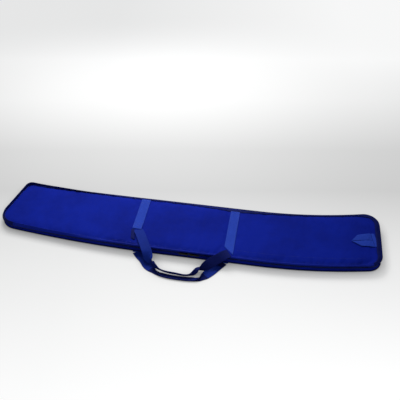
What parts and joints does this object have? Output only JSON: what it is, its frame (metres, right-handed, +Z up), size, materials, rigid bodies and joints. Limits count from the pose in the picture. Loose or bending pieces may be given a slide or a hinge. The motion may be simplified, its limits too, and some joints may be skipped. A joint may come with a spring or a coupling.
{
  "type": "telescope carry case",
  "caption": "Long padded soft case for a telescope tube, lying empty and zipped, slightly bent, with two webbing handle loops at one long side and a hang loop at one end.",
  "frame": {"origin": "middle of the flat underside, on the surface that the case lies on", "axes": "+X along the straight middle of the case towards the end with the hang loop, +Y across to the fabric hinge, away from the handles, +Z up"},
  "size_m": [1.2775, 0.3663, 0.0402],
  "materials": {
    "cover": "woven coated polyester, royal blue",
    "webbing": "flat woven webbing, mid blue",
    "piping": "fabric-covered cord, dark navy",
    "foam": "closed-cell padding, pale grey",
    "lining": "thin plain-woven lining, black",
    "zip_tape": "woven zip tape, black-navy",
    "zip_coil": "nylon coil, black",
    "zip_metal": "black paint, satin"
  },
  "bodies": {
    "base": {"base_cover": "cover", "base_foam": "foam", "base_lining": "lining", "base_binding": "lining", "base_piping": "piping", "base_gusset": "cover", "base_zip_tape": "zip_tape", "base_zip_coil": "zip_coil", "base_strap_left": "webbing", "base_strap_right": "webbing", "zip_end_stops": "zip_tape", "hinge_gusset": "cover"},
    "lid": {"lid_cover": "cover", "lid_foam": "foam", "lid_lining": "lining", "lid_binding": "lining", "lid_piping": "piping", "lid_gusset": "cover", "lid_zip_tape": "zip_tape", "lid_zip_coil": "zip_coil", "lid_strap_left": "webbing", "lid_strap_right": "webbing", "hang_loop_anchor": "webbing"},
    "slider_left": {"zip_slider_left": "zip_metal"},
    "slider_right": {"zip_slider_right": "zip_metal"},
    "pull_left": {"zip_pull_left": "zip_metal"},
    "pull_right": {"zip_pull_right": "zip_metal"},
    "base_loop": {"base_handle": "webbing"},
    "lid_loop": {"lid_handle": "webbing"},
    "hang_strap": {"hang_loop": "webbing"}
  },
  "joints": [
    {"name": "lid_hinge", "type": "hinge", "parent": "base", "child": "lid", "pos_m": [0, 0.145, 0.0322], "axis": [-0.9998, -0.0208, 0], "range_deg": [0, 160]},
    {"name": "lid_handle_swing", "type": "hinge", "parent": "lid", "child": "lid_loop", "pos_m": [-0.165, -0.0395, 0.0355], "axis": [-0.9825, 0.1861, 0], "range_deg": [0, 150]},
    {"name": "base_handle_swing", "type": "hinge", "parent": "base", "child": "base_loop", "pos_m": [0, -0.115, -0.0001], "axis": [-1, 0, 0], "range_deg": [-170, 0]},
    {"name": "hang_loop_flip", "type": "hinge", "parent": "lid", "child": "hang_strap", "pos_m": [0.6044, 0.0351, 0.0354], "axis": [-0.2344, 0.9721, 0], "range_deg": [0, 170]},
    {"name": "slider_left_slide", "type": "slide", "parent": "base", "child": "slider_left", "axis": [-1, 0, 0], "range_m": [0, 0.13]},
    {"name": "slider_right_slide", "type": "slide", "parent": "base", "child": "slider_right", "axis": [1, 0, 0], "range_m": [0, 0.185]},
    {"name": "pull_left_swing", "type": "hinge", "parent": "slider_left", "child": "pull_left", "pos_m": [0.0135, -0.1113, 0.016], "axis": [0, 0, 1], "range_deg": [0, 120]},
    {"name": "pull_right_swing", "type": "hinge", "parent": "slider_right", "child": "pull_right", "pos_m": [0.0265, -0.1113, 0.016], "axis": [0, 0, -1], "range_deg": [0, 120]}
  ]
}
